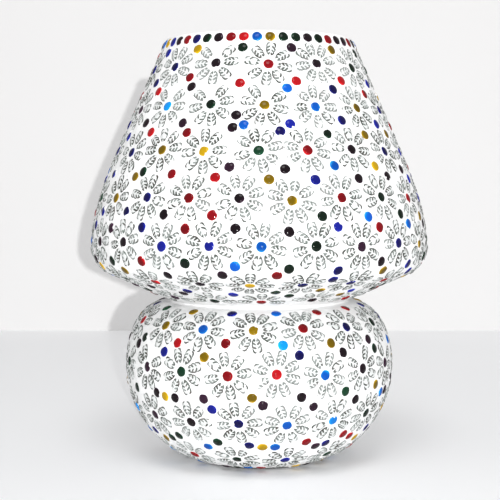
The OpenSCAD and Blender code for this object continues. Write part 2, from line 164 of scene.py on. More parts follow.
class Finish:
    """A material under construction: its nodes, its links and its one shader."""

    def __init__(self, name, **values):
        self.material = bpy.data.materials.new(name)
        self.material.use_nodes = True
        self.nodes = self.material.node_tree.nodes
        self.link = self.material.node_tree.links.new
        self.shader = self.nodes["Principled BSDF"]
        for key, value in values.items():
            self.shader.inputs[key.replace("_", " ")].default_value = value

    def add(self, kind, **values):
        node = self.nodes.new(kind)
        for key, value in values.items():
            if key in node.inputs:
                node.inputs[key].default_value = value
            else:
                setattr(node, key, value)
        return node

    def place(self):
        return self.add("ShaderNodeTexCoord").outputs["Object"]

    def noise(self, scale, detail=3.0, rough=0.55):
        node = self.add("ShaderNodeTexNoise", Scale=scale, Detail=detail, Roughness=rough)
        self.link(self.place(), node.inputs["Vector"])
        return node.outputs["Fac"]

    def ramp(self, source, stops):
        node = self.add("ShaderNodeValToRGB")
        ramp = node.color_ramp
        while len(ramp.elements) < len(stops):
            ramp.elements.new(0.5)
        for element, (place, colour) in zip(ramp.elements, stops):
            element.position = place
            element.color = (*colour, 1.0)
        self.link(source, node.inputs["Fac"])
        return node.outputs["Color"]

    def colour(self, source):
        self.link(source, self.shader.inputs["Base Color"])

    def tones(self, source, deep, light):
        """Two colours that melt into each other."""
        self.colour(self.ramp(source, [(0.3, deep), (0.7, light)]))

    def roughness(self, source, low, high):
        node = self.add("ShaderNodeMapRange")
        node.inputs["To Min"].default_value = low
        node.inputs["To Max"].default_value = high
        self.link(source, node.inputs["Value"])
        self.link(node.outputs["Result"], self.shader.inputs["Roughness"])

    def bump(self, source, depth_mm, strength=1.0):
        node = self.add("ShaderNodeBump", Strength=strength, Distance=depth_mm * MM)
        self.link(source, node.inputs["Height"])
        self.link(node.outputs["Normal"], self.shader.inputs["Normal"])


# Noise scales are per metre. A ramp's stop is a place from 0 to 1 and a colour.


def paint_finish(name, scale, deep, light, **values):
    f = Finish(name, **values)
    f.tones(f.noise(scale), deep, light)
    return f.material


def grout_finish():
    """White plaster with faint grey patches and a fine grain."""
    f = Finish("grout_plaster", Roughness=0.75)
    f.colour(f.ramp(f.noise(160.0, 5.0), [(0.30, (0.84, 0.845, 0.84)), (0.55, (0.90, 0.90, 0.90)),
                                          (0.8, (0.93, 0.93, 0.93))]))
    f.roughness(f.noise(420.0), 0.6, 0.9)
    f.bump(f.noise(1400.0, 4.0), 0.06, 0.6)
    return f.material


def leaf_finish():
    """Pressed glass over white grout: nearly white, with a faint green tinge."""
    f = Finish("leaf_glass", Roughness=0.15, Specular_IOR_Level=0.4)
    f.tones(f.noise(220.0), (0.67, 0.695, 0.685), (0.74, 0.755, 0.75))
    f.bump(f.noise(500.0), 0.05, 0.4)
    return f.material


# The ramp of each vein tone: grey, green and brown. The veins' darkness is partly the moulded
# grooves' own grey and partly painted shade of their relief.
VEIN_TONES = {
    "vein_dark": ((0.056, 0.062, 0.054), (0.096, 0.115, 0.098), (0.104, 0.088, 0.077)),
    "vein_mid": ((0.128, 0.142, 0.131), (0.170, 0.203, 0.182), (0.178, 0.164, 0.153)),
    "vein_faint": ((0.24, 0.268, 0.256), (0.29, 0.316, 0.30), (0.30, 0.288, 0.28)),
}


def vein_finish(name):
    """The dark lines of a leaf, greyer, greener or browner from place to place. Their darkness is
    partly the grooves' own grey and partly painted shade.
    """
    grey, green, brown = VEIN_TONES[name]
    f = Finish(name, Roughness=0.3, Specular_IOR_Level=0.2)
    f.colour(f.ramp(f.noise(420.0), [(0.38, green), (0.5, grey), (0.7, brown)]))
    return f.material


def dot_finish(name):
    """Coloured glass, with the colour of each dot's core, edge and painted gleam in its tint."""
    f = Finish(name, Roughness=0.07, Specular_IOR_Level=0.17)
    f.colour(f.add("ShaderNodeAttribute", attribute_name="tint").outputs["Color"])
    f.bump(f.noise(380.0, 2.0), 0.08, 0.35)
    return f.material


GLASS_IOR = 1.5


def bulb_glass_finish(name):
    """Clear blown glass: faint waves and a little haze."""
    f = Finish(name, Base_Color=(0.985, 0.99, 0.99, 1.0), IOR=GLASS_IOR, Transmission_Weight=1.0)
    f.roughness(f.noise(33.0), 0.015, 0.05)
    f.bump(f.noise(22.0), 0.15, 0.3)
    return f.material


def backed_glass_finish(name):
    """Greenish blown glass, milky from inside because white grout backs all of it."""
    f = Finish(name, IOR=GLASS_IOR, Transmission_Weight=0.04)
    f.tones(f.noise(24.0), (0.91, 0.945, 0.93), (0.945, 0.965, 0.955))
    f.roughness(f.noise(60.0), 0.04, 0.09)
    f.bump(f.noise(45.0), 0.2, 0.35)
    return f.material


def metal_finish(name, dull, clean, rough, grain=900.0):
    """Bare metal with patches of tarnish and a fine grain."""
    f = Finish(name, Metallic=1.0)
    patches = f.noise(130.0, 4.0)
    f.colour(f.ramp(patches, [(0.36, dull), (0.6, clean)]))
    f.roughness(patches, rough + 0.14, rough)
    f.bump(f.noise(grain, 2.0), 0.02, 0.5)
    return f.material


def moulded_finish(name, deep, light, rough, grain, grain_mm, **values):
    """Plastic, rubber, porcelain or enamel: two close tones and a surface grain."""
    f = Finish(name, **values)
    f.tones(f.noise(90.0, 4.0), deep, light)
    f.roughness(f.noise(260.0), rough, rough + 0.12)
    f.bump(f.noise(grain, 3.0), grain_mm, 0.5)
    return f.material


FINISHES = {
    "clear_glass": backed_glass_finish,
    "bulb_glass": bulb_glass_finish,
    "brass": lambda n: metal_finish(n, (0.60, 0.42, 0.17), (0.83, 0.65, 0.32), 0.2),
    "zinc_steel": lambda n: metal_finish(n, (0.50, 0.51, 0.52), (0.73, 0.74, 0.76), 0.26),
    "cap_aluminium": lambda n: metal_finish(n, (0.66, 0.66, 0.67), (0.84, 0.84, 0.85), 0.24),
    "solder": lambda n: metal_finish(n, (0.42, 0.42, 0.43), (0.66, 0.66, 0.68), 0.32, 500.0),
    "tungsten": lambda n: metal_finish(n, (0.16, 0.16, 0.18), (0.30, 0.30, 0.33), 0.4),
    "grey_rubber": lambda n: moulded_finish(n, (0.045,) * 3, (0.075,) * 3, 0.6, 1500.0, 0.03),
    "black_rubber": lambda n: moulded_finish(n, (0.012,) * 3, (0.024,) * 3, 0.5, 1500.0, 0.03),
    "ivory_plastic": lambda n: moulded_finish(
        n, (0.80, 0.75, 0.62), (0.87, 0.83, 0.71), 0.24, 1100.0, 0.012, Coat_Weight=0.15),
    "white_porcelain": lambda n: moulded_finish(
        n, (0.82, 0.81, 0.77), (0.90, 0.89, 0.86), 0.1, 300.0, 0.02, Coat_Weight=0.4),
    "black_insulator": lambda n: moulded_finish(
        n, (0.008,) * 3, (0.02, 0.02, 0.024), 0.06, 350.0, 0.02),
}
finish_cache = {}


def finish_of(slot):
    """A slot's material, made when it is first asked for."""
    if slot not in finish_cache:
        finish_cache[slot] = FINISHES[slot](slot)
    return finish_cache[slot]


# ---- mesh helpers


def full_turn(steps):
    """Evenly spaced angles all the way round."""
    return np.linspace(0, 2 * math.pi, steps, endpoint=False)


def mesh_piece(name, verts, faces, materials, body, nodes, slot, picks=None, sharp=None):
    """A smooth mesh from millimetre points, riding on a body and standing for CAD nodes.

    Picks are each face's material. Edges over the angle sharp, in degrees, stay hard.
    """
    data = bpy.data.meshes.new(name)
    data.from_pydata((np.asarray(verts, float) * MM).tolist(), [], [tuple(f) for f in faces])
    data.polygons.foreach_set("use_smooth", [True] * len(data.polygons))
    for material in materials:
        data.materials.append(material)
    if picks is not None:
        data.polygons.foreach_set("material_index", list(picks))
    if sharp is not None:
        data.set_sharp_from_angle(angle=math.radians(sharp))
    piece = bpy.data.objects.new(name, data)
    bpy.context.collection.objects.link(piece)
    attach(piece, body)
    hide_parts(*nodes)
    return piece


def stand_in(name, mesh, node, sharp=40):
    """A closed piece that takes a CAD node's place, body and finish."""
    slot = frame_slot(node)
    return mesh_piece(name, *mesh, [finish_of(slot)], node_body(node), [node], slot, sharp=sharp)


def frame_slot(node):
    rows = frame["record"]["subparts"]
    return next(row["material_slot"] for row in rows if row["node"] == node)


def node_body(node):
    bodies = frame["record"]["behaviour"]["bodies"]
    return next(body for body, nodes in bodies.items() if node in nodes)


def span(node):
    """A CAD node's lowest and highest height and its largest radius."""
    low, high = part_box(node)
    return low.z / MM, high.z / MM, high.x / MM


def turned(radius, height, columns, poles=False):
    """A closed mesh turned about Z from rows of radius and height.

    A row has one value or one per column. The rows form a loop, or with poles they start and
    end on the axis.
    """
    radius, height = np.asarray(radius, float), np.asarray(height, float)
    shape = (len(radius), columns)
    turn = full_turn(columns)
    r = np.broadcast_to(radius if radius.ndim == 2 else radius[:, None], shape)
    z = np.broadcast_to(height if height.ndim == 2 else height[:, None], shape)
    verts = np.stack([r * np.cos(turn), r * np.sin(turn), z], 2)
    if poles:
        verts = verts[1:-1]
    rows = len(verts)
    i, j = np.meshgrid(np.arange(rows - 1 if poles else rows), np.arange(columns), indexing="ij")
    i2, j2 = (i + 1) % rows, (j + 1) % columns
    quads = np.stack([i * columns + j, i * columns + j2, i2 * columns + j2, i2 * columns + j], 2)
    quads = quads.reshape(-1, 4)
    verts = verts.reshape(-1, 3)
    ends = np.empty((0, 3), int)
    if poles:
        n = len(verts)
        j, j2 = np.arange(columns), (np.arange(columns) + 1) % columns
        last = (rows - 1) * columns
        ends = np.vstack([np.column_stack([np.full(columns, n), j2, j]),
                          np.column_stack([np.full(columns, n + 1), last + j, last + j2])])
        verts = np.vstack([verts, [(0, 0, z[0, 0]), (0, 0, z[-1, 0])]])
    triangles = verts[np.vstack([quads[:, :3], quads[:, [0, 2, 3]], ends])]
    volume = np.einsum("ij,ij->", triangles[:, 0], np.cross(triangles[:, 1], triangles[:, 2]))
    if volume < 0:
        quads, ends = quads[:, ::-1], ends[:, ::-1]
    return verts, quads.tolist() + ends.tolist()


def widened(values, columns):
    """One value for each row, repeated in every column."""
    return np.repeat(values[:, None], columns, 1)


def turned_path(path, columns, poles=False):
    """A closed mesh turned about Z from a path of [radius, height]."""
    return turned(path[:, 0], path[:, 1], columns, poles)


CORNER_SHARE = 0.45  # most of a side that an eased corner takes


def rounded(points, radius, steps=4):
    """A path with each of its inner corners eased by a short curve."""
    p = np.array(points, float)
    path = [p[0]]
    for before, corner, after in zip(p[:-2], p[1:-1], p[2:]):
        back, on = before - corner, after - corner
        reach_back, reach_on = np.linalg.norm(back), np.linalg.norm(on)
        cut = min(radius, CORNER_SHARE * reach_back, CORNER_SHARE * reach_on)
        start, end = corner + back * cut / reach_back, corner + on * cut / reach_on
        for t in np.linspace(0, 1, steps + 1):
            path.append((1 - t) ** 2 * start + 2 * t * (1 - t) * corner + t * t * end)
    path.append(p[-1])
    return np.array(path)


THREAD_RUNOUT = 0.6  # in pitches


def thread(z, columns, pitch, low, high, sharp=False):
    """How far a screw thread stands out at each height and column, from 0 to 1."""
    turn = np.arange(columns) / columns
    phase = (z[:, None] / pitch - turn) % 1
    wave = 1 - np.abs(2 * phase - 1) if sharp else 0.5 - 0.5 * np.cos(2 * math.pi * phase)
    fade = np.clip(np.minimum(z - low, high - z) / (THREAD_RUNOUT * pitch), 0, 1)
    return wave * fade[:, None]


def pipe(z, outer, inner, columns):
    """A closed round tube: rows up its outside and down its inside."""
    inner = np.broadcast_to(inner, outer.shape)[::-1]
    return turned(np.vstack([outer, inner]), np.concatenate([z, z[::-1]]), columns)


ODD_WAY = (0.31, 0.94, 0.13)  # a direction that no path here starts in


def tube(path, radius, sides=8):
    """A closed round tube along a path, in millimetres."""
    p = np.array(path, float)
    along = np.gradient(p, axis=0)
    along /= np.linalg.norm(along, axis=1)[:, None]
    side = np.cross(along[0], ODD_WAY)
    rings = []
    for point, way in zip(p, along):
        side = side - way * (side @ way)
        side /= np.linalg.norm(side)
        up = np.cross(way, side)
        a = full_turn(sides)[:, None]
        rings.append(point + radius * (np.cos(a) * side + np.sin(a) * up))
    n = len(p)
    faces = [(i * sides + j, i * sides + (j + 1) % sides, (i + 1) * sides + (j + 1) % sides,
              (i + 1) * sides + j) for i in range(n - 1) for j in range(sides)]
    faces += [tuple(range(sides - 1, -1, -1)), tuple((n - 1) * sides + j for j in range(sides))]
    return np.vstack(rings), faces


def joined(meshes):
    """Several meshes as one."""
    verts, faces, total = [], [], 0
    for v, q in meshes:
        verts.append(v)
        faces += [tuple(total + i for i in face) for face in q]
        total += len(v)
    return np.vstack(verts), faces


DRILL_SIDES = 64


def drill(piece, place, axis, radius, reach):
    """Cuts a round hole through a piece, reaching both ways from a place."""
    way = np.array(Vector(axis).normalized())
    path = [np.array(place) - way * reach * s for s in (1, 0, -1)]
    verts, faces = tube(path, radius, DRILL_SIDES)
    data = bpy.data.meshes.new("drill")
    data.from_pydata((verts * MM).tolist(), [], faces)
    bit = bpy.data.objects.new("drill", data)
    bpy.context.collection.objects.link(bit)
    cut = piece.modifiers.new("hole", "BOOLEAN")
    cut.object = bit
    cut.operation = "DIFFERENCE"
    cut.solver = "MANIFOLD"
    graph = bpy.context.evaluated_depsgraph_get()
    piece.data = bpy.data.meshes.new_from_object(piece.evaluated_get(graph))
    piece.modifiers.clear()
    bpy.data.objects.remove(bit)


def islands(name):
    """The vertices of each separate solid in a CAD node, in millimetres."""
    data = frame["nodes"][name].data
    co = np.empty(len(data.vertices) * 3)
    data.vertices.foreach_get("co", co)
    points, back = np.unique(np.round(co.reshape(-1, 3), 6), axis=0, return_inverse=True)
    edges = np.empty(len(data.edges) * 2, int)
    data.edges.foreach_get("vertices", edges)
    edges = back.ravel()[edges.reshape(-1, 2)]
    label = np.arange(len(points))
    # each vertex takes the lowest label among its neighbours until nothing changes
    while True:
        low = np.minimum(label[edges[:, 0]], label[edges[:, 1]])
        fresh = label.copy()
        np.minimum.at(fresh, edges[:, 0], low)
        np.minimum.at(fresh, edges[:, 1], low)
        fresh = fresh[fresh]
        if (fresh == label).all():
            break
        label = fresh
    order = np.argsort(label, kind="stable")
    cuts = np.flatnonzero(np.diff(label[order])) + 1
    return [points[part] / MM for part in np.split(order, cuts)]


# ---- the lamp's outline

LAMP_H = cad_box[1][2] / MM
RIM_R = 57.1
BELLY_R = 102.0
BELLY_Z = 134.0
CORNER_R = 17.3
UNDERSIDE = math.radians(25)  # slope of the shade's underside
WAIST_R = 55.5
BASE_R = 81.6
BASE_Z = 58.0
FOOT_R = 38.8
FOOT_Z = 0.6
RIM_LIP = 0.6
CHIP_PROUD = 0.8
GROUT_T = 1.8
GLASS_T = 2.8
SHELL_IN = CHIP_PROUD + GROUT_T  # from the chips' faces to the glass
WAIST_STEPS = 9


def curve(points, n=60):
    """A cubic curve from four control points."""
    t = np.linspace(0, 1, n + 1)[:, None]
    p = np.array(points, float)
    u = 1 - t
    return u**3 * p[0] + 3 * u * u * t * p[1] + 3 * u * t * t * p[2] + t**3 * p[3]


def lamp_outline():
    """Shade and base as [radius, height] from rim to waist and from waist to foot.

    The control points are the ones that the CAD's curves have.
    """
    corner = np.array([BELLY_R - CORNER_R, BELLY_Z - 4])
    turn = np.linspace(0, math.pi / 2 - UNDERSIDE, 25)[1:, None]
    arc = corner + CORNER_R * np.hstack([np.cos(turn), -np.sin(turn)])
    end = arc[-1]
    waist = np.array([WAIST_R, end[1] + (WAIST_R - end[0]) * math.tan(UNDERSIDE)])
    side = curve([(RIM_R, LAMP_H - RIM_LIP), (RIM_R + 27.3, LAMP_H - 64.4),
                  (BELLY_R, BELLY_Z + 26), (BELLY_R, corner[1])])
    under = end + np.linspace(0, 1, 30)[1:, None] * (waist - end)
    upper = curve([waist, (WAIST_R + 16, waist[1] - 1.2), (BASE_R, BASE_Z + 22), (BASE_R, BASE_Z)])
    lower = curve([(BASE_R, BASE_Z), (BASE_R + 0.4, BASE_Z - 26), (FOOT_R + 24, 6),
                   (FOOT_R, FOOT_Z)])
    return np.vstack([side, arc, under]), np.vstack([upper, lower[1:]])


def facing(path):
    """Outward normals along a path of [radius, height] that runs downwards."""
    d = np.gradient(path, axis=0)
    n = np.stack([-d[:, 1], d[:, 0]], 1)
    return n / np.linalg.norm(n, axis=1)[:, None]


SHADE, BASE = lamp_outline()


def inset(depth):
    """The lamp's outline moved inwards, with a round turn behind the waist."""
    n0, n1 = facing(SHADE)[-1], facing(BASE)[0]
    a0 = math.atan2(-n0[1], -n0[0])
    a1 = math.atan2(-n1[1], -n1[0]) + 2 * math.pi
    a = np.linspace(a0, a1, WAIST_STEPS)[1:-1, None]
    turn = BASE[0] + depth * np.hstack([np.cos(a), np.sin(a)])
    return np.vstack([SHADE - depth * facing(SHADE), turn, BASE - depth * facing(BASE)])


def lengths(path):
    """How far along a path each of its points is."""
    return np.concatenate([[0], np.cumsum(np.linalg.norm(np.diff(path, axis=0), axis=1))])


GLASS_RIM_R = inset(SHELL_IN + GLASS_T)[0][0]
FACE_PATH = np.vstack([SHADE, BASE[1:]])
FACE_NORMALS = np.vstack([facing(SHADE), facing(BASE)[1:]])


# ---- where the chips are


def nearest_row(radius, height):
    """The point of the mosaic's outline that is nearest to a radius and a height."""
    return np.argmin((FACE_PATH[:, 0] - radius) ** 2 + (FACE_PATH[:, 1] - height) ** 2)


class Place:
    """A chip's centre on the mosaic's face, its outward normal and its direction along the wall.

    A leaf's axis runs from its pointed end to its blunt end, and a dot's axis runs down the wall.
    """

    def __init__(self, points, long_axis):
        middle = points.mean(0)
        radius = math.hypot(middle[0], middle[1])
        k = nearest_row(radius, middle[2])
        out = np.array([middle[0], middle[1], 0.0]) / radius
        self.normal = out * FACE_NORMALS[k][0] + np.array([0, 0, FACE_NORMALS[k][1]])
        flat = points - middle
        flat = flat - np.outer(flat @ self.normal, self.normal)
        if long_axis:
            axis = np.linalg.svd(flat, full_matrices=False)[2][0]
            along = flat @ axis
            side = np.abs(flat @ np.cross(self.normal, axis))
            centre = (along.max() + along.min()) / 2
            if (side * (along - centre)).sum() < 0:
                axis, along, centre = -axis, -along, -centre
            self.axis = axis
            middle = middle + axis * centre
        else:
            down = np.array([0, 0, -1.0])
            axis = down - self.normal * (down @ self.normal)
            self.axis = axis / np.linalg.norm(axis)
        self.centre = middle + self.normal * ((points - middle) @ self.normal).max()
        self.side = np.cross(self.normal, self.axis)

    def put(self, local):
        """Points along the chip's axis, side and normal, moved to the lamp."""
        return (self.centre + np.outer(local[:, 0], self.axis) + np.outer(local[:, 1], self.side)
                + np.outer(local[:, 2], self.normal))


LEAF_NODES = ("shade_leaf_chips", "base_leaf_chips")
# The colour deep in each kind of dot, and the colour where light comes through
DOT_NODES = {
    "ruby_dots": ((0.165, 0.002, 0.005), (0.66, 0.009, 0.012)),
    "cobalt_dots": ((0.004, 0.003, 0.058), (0.010, 0.025, 0.48)),
    "sky_blue_dots": ((0.002, 0.072, 0.39), (0.005, 0.47, 1.0)),
    "amber_dots": ((0.120, 0.073, 0.001), (0.86, 0.52, 0.007)),
    "bottle_green_dots": ((0.003, 0.010, 0.005), (0.008, 0.07, 0.03)),
    "aubergine_dots": ((0.008, 0.004, 0.006), (0.052, 0.015, 0.044)),
}
leaf_places = {n: [Place(p, True) for p in islands(n)] for n in LEAF_NODES}
dot_places = {n: [Place(p, False) for p in islands(n)] for n in DOT_NODES}

# ---- glass leaves

LEAF_L = 9.3
LEAF_W = 5.9
LEAF_FAT = 1.1  # how far the widest place is from the middle
LEAF_BLUNT = 0.58  # radius of the blunt end, in leaf lengths
LEAF_EDGE = -0.55
LEAF_FOOT = -1.4
LEAF_ROWS = 10
LEAF_ARC = (0.06, 0.97)  # first row's place, and how far the rows go round, in half turns
LEAF_COLUMNS = (-1.0, -0.82, -0.5, -0.16, 0.0, 0.16, 0.5, 0.82, 1.0)
DOME_POWERS = (2.6, 5)  # how late the top falls off, across and along
MIDRIB = 0.10

VEIN_LIFT = 0.12
VEIN_SUNK = 0.02
VEIN_MIN_HALF = 0.2
STROKE_STARTS = (2.3, 0.15, -1.9)
STROKE_STRAY = (0.15, 0.10)  # of all strokes on a side, and of each one
STROKE_SKIP = 0.02  # chance that a stroke is missing
STROKE_RUN = (1.3, 1.7)
STROKE_INNER = (0.30, 0.46)
STROKE_OUTER = 0.84  # share of the half width
STROKE_MIN = 0.25
STROKE_BEND = (0.05, 0.22)
STROKE_POINTS = (0, 0.36, 0.7, 1)
STROKE_WIDTH = (1.05, 1.35)
STROKE_TAPER = np.array([0.7, 1, 1, 0.85])
EDGE_SHARE = 0.89  # share of the half width
ARC_REACH = (2.4, 3.6)
ARC_INSET = 0.06
ARC_WIDTH = (0.86, 1.10)
ARC_TAPER = np.array([0.4, 0.9, 1, 1, 0.8, 0.45])
EDGE_GAP = 0.5
EDGE_WHOLE_END = -3.9
EDGE_BROKEN = [(0.9, -0.9), (-1.5, -3.6)]
EDGE_STRAY = (-0.2, 0.4)
EDGE_WIDTH = (0.72, 0.96)
EDGE_TAPER = np.array([0.4, 1, 1, 0.9, 0.4])


def leaf_half(x):
    """Half the leaf's width at x, from its pointed inner tip at -L/2 to its blunt outer end."""
    side = ((LEAF_L / 2 + LEAF_FAT) ** 2 + (LEAF_W / 2) ** 2) / LEAF_W
    end = LEAF_BLUNT * LEAF_L
    arc = np.sqrt(np.maximum(side**2 - (x - LEAF_FAT) ** 2, 0)) - (side - LEAF_W / 2)
    blunt = np.sqrt(np.maximum(end**2 - (x - LEAF_L / 2 + end) ** 2, 0))
    return np.maximum(np.minimum(arc, blunt), 0)


def leaf_height(x, f):
    """Height of the leaf's domed top at x and at f, the share of its half width."""
    across, along = DOME_POWERS
    ends = np.clip(np.abs(x) / (LEAF_L / 2), 0, 1) ** along
    return LEAF_EDGE * (1 - (1 - np.abs(f) ** across) * (1 - ends))


def leaf_body():
    """Top, side and underside of a leaf, as vertices and faces."""
    first, reach = LEAF_ARC
    x = -LEAF_L / 2 * np.cos(np.linspace(first, 1, LEAF_ROWS) * math.pi * reach)
    f = np.array(LEAF_COLUMNS)
    xx, ff = np.meshgrid(x, f, indexing="ij")
    rib = np.where(ff == 0, MIDRIB, 0.0)
    top = np.stack([xx, ff * leaf_half(xx), leaf_height(xx, ff) + rib], 2).reshape(-1, 3)
    n, m = len(x), len(f)
    faces = [(i * m + j, i * m + j + 1, (i + 1) * m + j + 1, (i + 1) * m + j)
             for i in range(n - 1) for j in range(m - 1)]
    rim = ([i * m for i in range(n)] + [(n - 1) * m + j for j in range(1, m)]
           + [i * m + m - 1 for i in range(n - 2, -1, -1)] + list(range(m - 2, 0, -1)))
    low = top[rim].copy()
    low[:, 2] = LEAF_FOOT
    k = len(top)
    faces = [q[::-1] for q in faces]
    faces += [(rim[a], rim[(a + 1) % len(rim)], k + (a + 1) % len(rim), k + a)
              for a in range(len(rim))]
    faces.append(tuple(range(k + len(rim) - 1, k - 1, -1)))
    return np.vstack([top, low]), faces


def ridge(path, widths):
    """A vein: a low three-sided ridge on the leaf's top along a path of [x, y]."""
    path = np.array(path, float)
    d = np.gradient(path, axis=0)
    across = np.stack([-d[:, 1], d[:, 0]], 1) / np.linalg.norm(d, axis=1)[:, None]
    rails = []
    for side, lift in ((-1, -VEIN_SUNK), (0, VEIN_LIFT), (1, -VEIN_SUNK)):
        p = path + side * across * np.array(widths)[:, None] / 2
        half = np.maximum(leaf_half(p[:, 0]), VEIN_MIN_HALF)
        z = leaf_height(p[:, 0], np.clip(p[:, 1] / half, -1, 1)) + lift
        rails.append(np.column_stack([p, z]))
    n = len(path)
    faces = []
    for r in range(3):
        a, b = r * n, (r + 1) % 3 * n
        faces += [(b + i, b + i + 1, a + i + 1, a + i) for i in range(n - 1)]
    faces += [(0, n, 2 * n), (3 * n - 1, 2 * n - 1, n - 1)]
    return np.vstack(rails), faces


def edge_shade_line(x, side, widths):
    """A dark line just inside the leaf's edge: painted shade where the glass edge refracts."""
    return ridge(np.column_stack([x, side * EDGE_SHARE * leaf_half(x)]), widths)


def leaf_veins(wild):
    """One leaf's veins: strokes that run from the midrib back to the edge, and lines of painted
    shade along the edge itself.

    Every stroke starts beside the midrib, nearer the outer end, so each pair is a chevron. One
    side's edge is whole and the other's has a gap.
    """
    veins = []
    whole = wild.choice([-1, 1])
    for side in (-1, 1):
        shift = wild.normal(0, STROKE_STRAY[0])
        for start in STROKE_STARTS:
            if wild.random() < STROKE_SKIP:
                continue
            a = start + shift + wild.normal(0, STROKE_STRAY[1])
            b = a - wild.uniform(*STROKE_RUN)
            y0 = wild.uniform(*STROKE_INNER)
            y1 = STROKE_OUTER * float(leaf_half(np.array(max(b, 0.2 - LEAF_L / 2))))
            if y1 < y0 + STROKE_MIN:
                continue
            bend = wild.uniform(*STROKE_BEND)
            path = [(a + (b - a) * u + bend * math.sin(math.pi * u), side * (y0 + (y1 - y0) * u))
                    for u in STROKE_POINTS]
            veins.append(ridge(path, wild.uniform(*STROKE_WIDTH) * STROKE_TAPER))
        # the arc and edge lines below are painted shade of the leaf's refracting edge
        reach = wild.uniform(*ARC_REACH)
        x = LEAF_L / 2 - ARC_INSET - reach * np.linspace(0, 1, len(ARC_TAPER)) ** 2
        veins.append(edge_shade_line(x, side, wild.uniform(*ARC_WIDTH) * ARC_TAPER))
        parts = [(LEAF_L / 2 - reach - EDGE_GAP, EDGE_WHOLE_END)] if side == whole else EDGE_BROKEN
        for first, last in parts:
            x = np.linspace(first, last + wild.uniform(*EDGE_STRAY), len(EDGE_TAPER))
            veins.append(edge_shade_line(x, side, wild.uniform(*EDGE_WIDTH) * EDGE_TAPER))
    return veins


LEAF_KINDS = 7
VEIN_SLOTS = {"vein_dark": 1, "vein_mid": 2, "vein_faint": 3}
TONE_STEPS = [-1, 0, 0, 0, 1]


def leaf_kinds():
    """Leaf variants for each vein tone, each as vertices, faces and the material of each face."""
    kinds = {}
    for tone in VEIN_SLOTS.values():
        kinds[tone] = []
        for seed in range(LEAF_KINDS):
            wild = np.random.default_rng(200 + 50 * tone + seed)
            body = leaf_body()
            veins = leaf_veins(wild)
            picks = [0] * len(body[1])
            for _, faces in veins:
                picks += [int(np.clip(tone + wild.choice(TONE_STEPS), 1, 3))] * len(faces)
            kinds[tone].append((*joined([body, *veins]), picks))
    return kinds


LEAF_PIECE = 330  # leaves in one mesh
FLOWER_HUB = 4.0  # from a flower's middle to its leaves
LEAF_GROWTH = (0.96, 1.0)
LEAF_SHIFT = (-0.1, 0.35)
LEAF_SWING = 0.03  # radians
LEAF_TILT = 0.012
LEAF_LEVEL = 0.04
PATCH_SPAN = 75.0
PATCH_WAVES = 4
PATCH_STRAY = 0.45
PATCH_DARK = 1.05
PATCH_FAINT = -0.75


class Patches:
    """The vein tone of each leaf: neighbours mostly share one."""

    def __init__(self, seed):
        wild = np.random.default_rng(seed)
        way = wild.normal(size=(PATCH_WAVES, 3))
        self.way = way / np.linalg.norm(way, axis=1)[:, None] * 2 * math.pi / PATCH_SPAN
        self.start = wild.uniform(0, 2 * math.pi, PATCH_WAVES)

    def tone(self, centre):
        swell = np.sin(self.way @ centre + self.start).sum() / math.sqrt(PATCH_WAVES / 2)
        swell += rng.normal(0, PATCH_STRAY)
        name = "dark" if swell > PATCH_DARK else "faint" if swell < PATCH_FAINT else "mid"
        return VEIN_SLOTS["vein_" + name]


def laid(verts, faces):
    """A leaf as laid by hand: size, side, direction and level vary a little."""
    grow = rng.uniform(*LEAF_GROWTH)
    v = verts * (grow, grow, 1)
    if rng.random() < 0.5:
        v = v * (1, -1, 1)
        faces = [face[::-1] for face in faces]
    swing = rng.normal(0, LEAF_SWING)
    hinge = -LEAF_L / 2 - FLOWER_HUB
    x = v[:, 0] - hinge + rng.uniform(*LEAF_SHIFT)
    v[:, 0] = hinge + x * math.cos(swing) - v[:, 1] * math.sin(swing)
    v[:, 1] = x * math.sin(swing) + v[:, 1] * math.cos(swing)
    tilt = rng.normal(0, LEAF_TILT, 2)
    v[:, 2] += v[:, 0] * tilt[0] + v[:, 1] * tilt[1] + rng.normal(0, LEAF_LEVEL)
    return v, faces


def leaves():
    glass = leaf_finish()
    veins = [vein_finish(n) for n in VEIN_SLOTS]
    kinds = leaf_kinds()
    patches = Patches(41)
    for node, places in leaf_places.items():
        places = sorted(places, key=lambda p: -p.centre[2])
        for part, start in enumerate(range(0, len(places), LEAF_PIECE)):
            meshes, picks = [], []
            for place in places[start:start + LEAF_PIECE]:
                v, q, m = kinds[patches.tone(place.centre)][rng.integers(LEAF_KINDS)]
                v, q = laid(v, q)
                meshes.append((place.put(v), q))
                picks += m
            mesh_piece(f"{node}_{part + 1}", *joined(meshes), [glass, *veins], LAMP,
                       [node], "leaf_glass", picks)


# ---- glass dots

DOT_R = 3.0
DOT_FIT = 0.985
# Share of the radius and height of each ring, from the top down to the grout
DOT_RINGS = ((0.0, 0.34), (0.3, 0.30), (0.55, 0.18), (0.76, -0.02), (0.9, -0.24), (0.98, -0.46),
             (1.0, -0.62), (1.0, -1.4))
DOT_SIDES = 22
DOT_WOBBLE = 0.012
DOT_LEVEL = 0.05
# Shares of the bright colour, and the part of the dots that have them. The gleam is a painted
# highlight.
GLEAM, GLEAM_PART = (0.25, 1.0), 0.7
GLOW, GLOW_PART = (0.18, 0.45), 0.25
EDGE_GLOW = 0.3
DOT_TONE = (0.75, 1.25)


